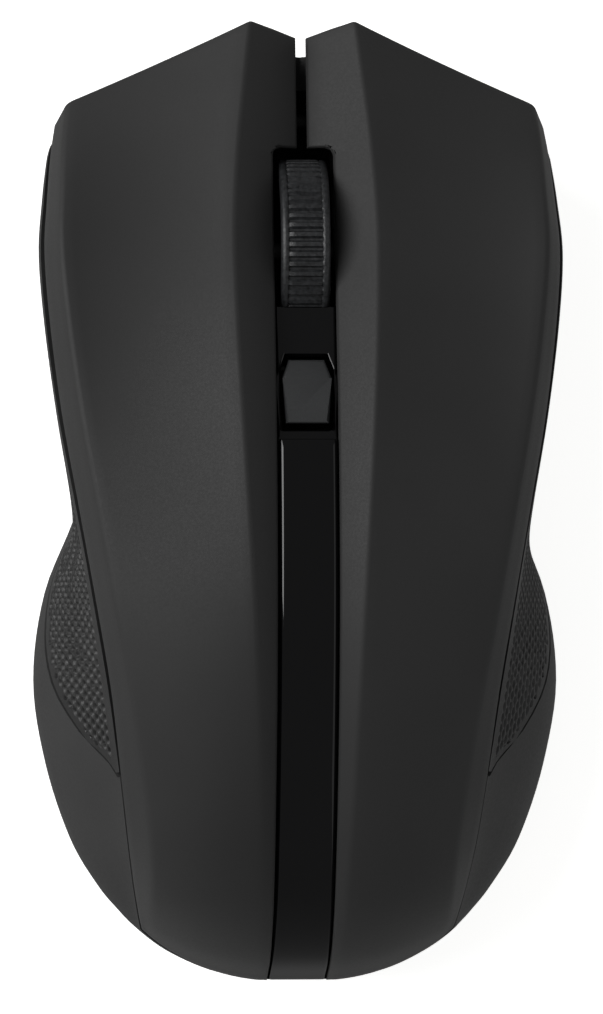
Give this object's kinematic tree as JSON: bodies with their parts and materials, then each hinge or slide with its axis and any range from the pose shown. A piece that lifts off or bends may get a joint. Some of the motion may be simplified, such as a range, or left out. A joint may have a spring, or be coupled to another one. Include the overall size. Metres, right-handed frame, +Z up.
{
  "type": "computer mouse",
  "caption": "Wireless optical computer mouse with two full-length covers, ribbed scroll wheel, resolution button and rubber side grips.",
  "frame": {"origin": "on the desk, under the middle of the body's length and width", "axes": "+Y towards the nose with the buttons, +X to the user's right, +Z up"},
  "size_m": [0.0598, 0.108, 0.0381],
  "materials": {
    "soft_touch_cover": "soft-touch painted ABS, fine grain",
    "matt_side": "spark-eroded matt ABS",
    "textured_base": "spark-eroded ABS",
    "gloss_black": "polished piano-black ABS",
    "bezel_black": "satin black ABS",
    "inner_black": "plain moulded ABS",
    "grip_rubber": "moulded pitted elastomer",
    "wheel_rubber": "ribbed silicone rubber",
    "hub_black": "moulded acetal",
    "carriage_black": "black acetal",
    "matt_button": "matt ABS",
    "switch_black": "glass-filled PBT",
    "plunger_white": "natural acetal",
    "plunger_amber": "moulded acetal",
    "emitter_resin": "tinted epoxy",
    "board_green": "solder resist on glass epoxy",
    "chip_black": "moulded epoxy",
    "clear_lens": "clear polycarbonate",
    "led_red": "tinted epoxy",
    "capacitor_sleeve": "shrink sleeve",
    "knob_grey": "moulded acetal",
    "cell_sleeve": "printed shrink sleeve, plain",
    "lead_red": "PVC insulation",
    "lead_black": "PVC insulation",
    "glide_ptfe": "PTFE skate",
    "steel": "bright steel"
  },
  "bodies": {
    "base": {"base_shell": "textured_base", "side_frame": "matt_side", "centre_strip": "gloss_black", "dpi_bezel": "bezel_black", "spine_frame": "inner_black", "left_grip": "grip_rubber", "right_grip": "grip_rubber", "hinge_pin": "steel", "dpi_switch_case": "switch_black", "carriage_spring": "steel", "encoder_emitter": "emitter_resin", "encoder_detector": "switch_black", "left_switch_case": "switch_black", "right_switch_case": "switch_black", "wheel_switch_case": "switch_black", "circuit_board": "board_green", "sensor_chip": "chip_black", "sensor_lens": "clear_lens", "sensor_led": "led_red", "led_clip": "switch_black", "radio_chip": "chip_black", "crystal_can": "steel", "capacitors": "capacitor_sleeve", "power_switch_case": "steel", "left_cell": "cell_sleeve", "right_cell": "cell_sleeve", "cell_springs": "steel", "cell_contacts": "steel", "red_lead": "lead_red", "black_lead": "lead_black", "glide_feet": "glide_ptfe", "case_screws": "steel", "board_screws": "steel"},
    "left_button": {"left_button_cover": "soft_touch_cover", "left_key_arm": "inner_black", "left_hinge_arm": "inner_black"},
    "right_button": {"right_button_cover": "soft_touch_cover", "right_key_arm": "inner_black", "right_hinge_arm": "inner_black"},
    "left_click": {"left_switch_plunger": "plunger_white"},
    "right_click": {"right_switch_plunger": "plunger_white"},
    "carriage": {"wheel_carriage": "carriage_black", "detent_spring": "steel"},
    "wheel": {"wheel_hub": "hub_black", "wheel_tyre": "wheel_rubber"},
    "wheel_click": {"wheel_switch_plunger": "plunger_white"},
    "dpi_key": {"dpi_button": "matt_button"},
    "dpi_click": {"dpi_switch_plunger": "plunger_amber"},
    "power_slider": {"power_knob": "knob_grey"},
    "door": {"battery_door": "textured_base"},
    "receiver": {"receiver_case": "gloss_black", "receiver_plug": "steel"}
  },
  "joints": [
    {"name": "left_press", "type": "hinge", "parent": "base", "child": "left_button", "pos_m": [0, -0.0472, 0.016], "axis": [-1, 0, 0], "range_deg": [0, 0.3397], "stiffness_Nm_per_rad": 4, "springref_deg": -0.57},
    {"name": "right_press", "type": "hinge", "parent": "base", "child": "right_button", "pos_m": [0, -0.0472, 0.016], "axis": [-1, 0, 0], "range_deg": [0, 0.3397], "stiffness_Nm_per_rad": 4, "springref_deg": -0.57},
    {"name": "left_plunge", "type": "slide", "parent": "base", "child": "left_click", "axis": [0, 0, -1], "range_m": [0, 0.0006]},
    {"name": "right_plunge", "type": "slide", "parent": "base", "child": "right_click", "axis": [0, 0, -1], "range_m": [0, 0.0006]},
    {"name": "wheel_press", "type": "hinge", "parent": "base", "child": "carriage", "pos_m": [0, 0.0433, 0.013], "axis": [1, 0, 0], "range_deg": [0, 2], "stiffness_Nm_per_rad": 0.35, "springref_deg": -1.72, "deforming": ["carriage_spring"]},
    {"name": "wheel_spin", "type": "hinge", "parent": "carriage", "child": "wheel", "pos_m": [0, 0.0281, 0.02026], "axis": [1, 0, 0], "continuous": true},
    {"name": "wheel_plunge", "type": "slide", "parent": "base", "child": "wheel_click", "axis": [0, 0, -1], "range_m": [0, 0.00062]},
    {"name": "dpi_press", "type": "slide", "parent": "base", "child": "dpi_key", "axis": [0, 0, -1], "range_m": [0, 0.0004], "stiffness_N_per_m": 1500, "springref_m": -0.0006},
    {"name": "dpi_plunge", "type": "slide", "parent": "base", "child": "dpi_click", "axis": [0, 0, -1], "range_m": [0, 0.0004]},
    {"name": "power_slide", "type": "slide", "parent": "base", "child": "power_slider", "axis": [0, 1, 0], "range_m": [0, 0.0025]},
    {"name": "door_swing", "type": "hinge", "parent": "base", "child": "door", "pos_m": [0, -0.002, 0.0014], "axis": [1, 0, 0], "range_deg": [0, 90]},
    {"name": "receiver_draw", "type": "slide", "parent": "base", "child": "receiver", "axis": [0, 0, -1], "range_m": [0, 0.02]}
  ],
  "couplings": [
    {"joint": "left_plunge", "follows": "left_press", "m_per_rad": 0.0874},
    {"joint": "right_plunge", "follows": "right_press", "m_per_rad": 0.0874},
    {"joint": "wheel_plunge", "follows": "wheel_press", "m_per_rad": 0.0171},
    {"joint": "dpi_plunge", "follows": "dpi_press", "ratio": 1}
  ]
}
